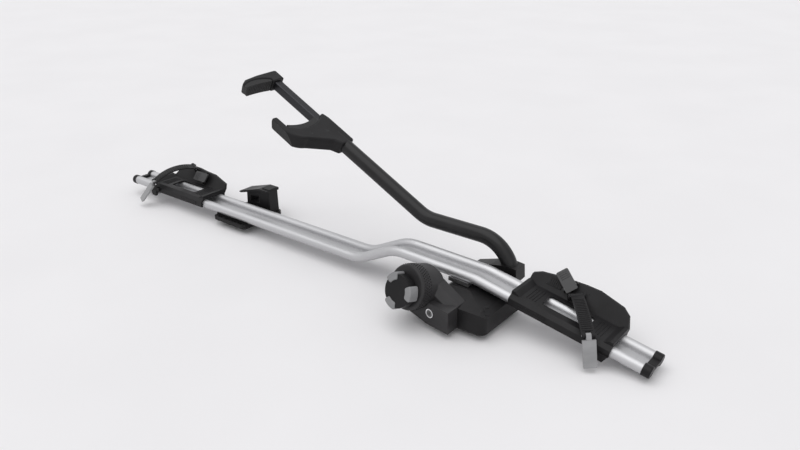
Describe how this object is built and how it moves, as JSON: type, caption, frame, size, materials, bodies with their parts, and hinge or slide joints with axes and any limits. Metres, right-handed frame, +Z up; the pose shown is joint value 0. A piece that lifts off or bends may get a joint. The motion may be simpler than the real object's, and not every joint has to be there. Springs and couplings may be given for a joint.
{
  "type": "roof bike carrier",
  "caption": "Roof bike carrier: a bent rail with sliding wheel trays and ratchet straps, and a folding arm whose sliding jaw is tightened by a knob beside the base.",
  "frame": {"origin": "on the top of the rear crossbar, under the middle of the rear base and of the rail's width", "axes": "+X forward along the rail, +Y to the side of the tightening knob, +Z up"},
  "size_m": [1.4556, 0.2586, 0.3795],
  "materials": {
    "satin_aluminium": "satin anodised",
    "black_plastic": "fine moulded grain",
    "black_rubber": "matt",
    "insert_brass": "turned",
    "bright_steel": "zinc plated",
    "bearing_plastic": "smooth",
    "lock_metal": "polished",
    "painted_tube": "black gloss powder coat",
    "black_aluminium": "black anodised",
    "knob_grey": "satin moulded",
    "strap_rubber": "satin",
    "tab_grey": "satin moulded",
    "lever_grey": "satin moulded"
  },
  "bodies": {
    "carrier": {"rail": "satin_aluminium", "rail_front_cap": "black_plastic", "rail_rear_cap": "black_plastic", "base_body": "black_plastic", "base_pad": "black_rubber", "base_inserts": "insert_brass", "base_bar_bolts": "bright_steel", "rail_bracket": "bright_steel", "bracket_bolts": "bright_steel", "pivot_bushes": "bearing_plastic", "knob_housing": "black_plastic", "lock_sleeve": "lock_metal", "foot_body": "black_plastic", "foot_pad": "black_rubber", "foot_insert": "insert_brass", "foot_bar_bolt": "bright_steel", "foot_clamp_plate": "bright_steel", "foot_rail_bolts": "bright_steel", "arm_rest": "black_plastic", "arm_rest_pad": "black_rubber"},
    "arm": {"arm_tube": "painted_tube", "arm_hub": "black_plastic", "pivot_shaft": "bright_steel", "pivot_clip": "bright_steel", "lower_claw": "black_plastic", "claw_screws": "bright_steel", "lower_claw_pad": "black_rubber", "bar_guide": "bearing_plastic"},
    "jaw": {"jaw_bar": "black_aluminium", "upper_claw": "black_plastic", "upper_claw_pad": "black_rubber", "jaw_pin": "bright_steel", "cable_end": "bright_steel"},
    "knob": {"knob_hub": "black_plastic", "knob_grips": "knob_grey", "knob_spindle": "bright_steel", "cable_reel": "black_plastic"},
    "lock": {"lock_barrel": "lock_metal"},
    "front_tray": {"front_tray": "black_plastic", "front_tray_clamp": "bright_steel", "front_clamp_screw": "bright_steel", "front_slot_nut": "bright_steel", "front_strap_pin": "bright_steel", "front_lever_pin": "bright_steel", "front_strap_tail": "strap_rubber"},
    "front_strap": {"front_ladder_strap": "strap_rubber", "front_tab_pin": "bright_steel"},
    "front_tab": {"front_release_tab": "tab_grey"},
    "front_lever": {"front_ratchet_lever": "lever_grey"},
    "rear_tray": {"rear_tray": "black_plastic", "rear_tray_clamp": "bright_steel", "rear_clamp_screw": "bright_steel", "rear_slot_nut": "bright_steel", "rear_strap_pin": "bright_steel", "rear_lever_pin": "bright_steel", "rear_strap_tail": "strap_rubber"},
    "rear_strap": {"rear_ladder_strap": "strap_rubber", "rear_tab_pin": "bright_steel"},
    "rear_tab": {"rear_release_tab": "tab_grey"},
    "rear_lever": {"rear_ratchet_lever": "lever_grey"}
  },
  "joints": [
    {"name": "arm_fold", "type": "hinge", "parent": "carrier", "child": "arm", "pos_m": [0.002, -0.07, 0.037], "axis": [0, -1, 0], "range_deg": [-21.8, 52]},
    {"name": "jaw_slide", "type": "slide", "parent": "arm", "child": "jaw", "axis": [0.8894, 0, 0.4571], "range_m": [-0.118, 0]},
    {"name": "knob_turn", "type": "hinge", "parent": "carrier", "child": "knob", "pos_m": [0.089, 0.145, 0.0685], "axis": [0.1506, 0.9508, 0.2706], "range_deg": [-1130, 0]},
    {"name": "lock_turn", "type": "hinge", "parent": "carrier", "child": "lock", "pos_m": [0.03852, 0.1204, 0.027], "axis": [0.1564, 0.9877, 0], "range_deg": [0, 90]},
    {"name": "front_tray_slide", "type": "slide", "parent": "carrier", "child": "front_tray", "axis": [1, 0, 0], "range_m": [-0.04, 0.055]},
    {"name": "front_strap_swing", "type": "hinge", "parent": "front_tray", "child": "front_strap", "pos_m": [0.934, -0.04981, 0.07507], "axis": [0.9062, -0.3973, 0.1446], "range_deg": [0, 80]},
    {"name": "front_tab_swing", "type": "hinge", "parent": "front_strap", "child": "front_tab", "pos_m": [0.98, 0.046, 0.05], "axis": [0.9062, -0.3973, 0.1446], "range_deg": [0, 50]},
    {"name": "front_lever_swing", "type": "hinge", "parent": "front_tray", "child": "front_lever", "pos_m": [0.88, -0.03817, 0.06004], "axis": [0, -0.6326, 0.7744], "range_deg": [0, 45]},
    {"name": "rear_tray_slide", "type": "slide", "parent": "carrier", "child": "rear_tray", "axis": [-0.9842, 0, -0.1772], "range_m": [0, 0.038]},
    {"name": "rear_strap_swing", "type": "hinge", "parent": "rear_tray", "child": "rear_strap", "pos_m": [-0.1817, -0.03652, 0.07111], "axis": [0.7954, 0.6009, -0.079], "range_deg": [0, 80]},
    {"name": "rear_tab_swing", "type": "hinge", "parent": "rear_strap", "child": "rear_tab", "pos_m": [-0.24608, 0.046, 0.05056], "axis": [0.7954, 0.6009, -0.079], "range_deg": [0, 72]},
    {"name": "rear_lever_swing", "type": "hinge", "parent": "rear_tray", "child": "rear_lever", "pos_m": [-0.1642, -0.04307, 0.0816], "axis": [-0.668, -0.5226, 0.5298], "range_deg": [0, 45]}
  ],
  "couplings": [
    {"joint": "knob_turn", "follows": "jaw_slide", "rad_per_m": 166.67}
  ]
}
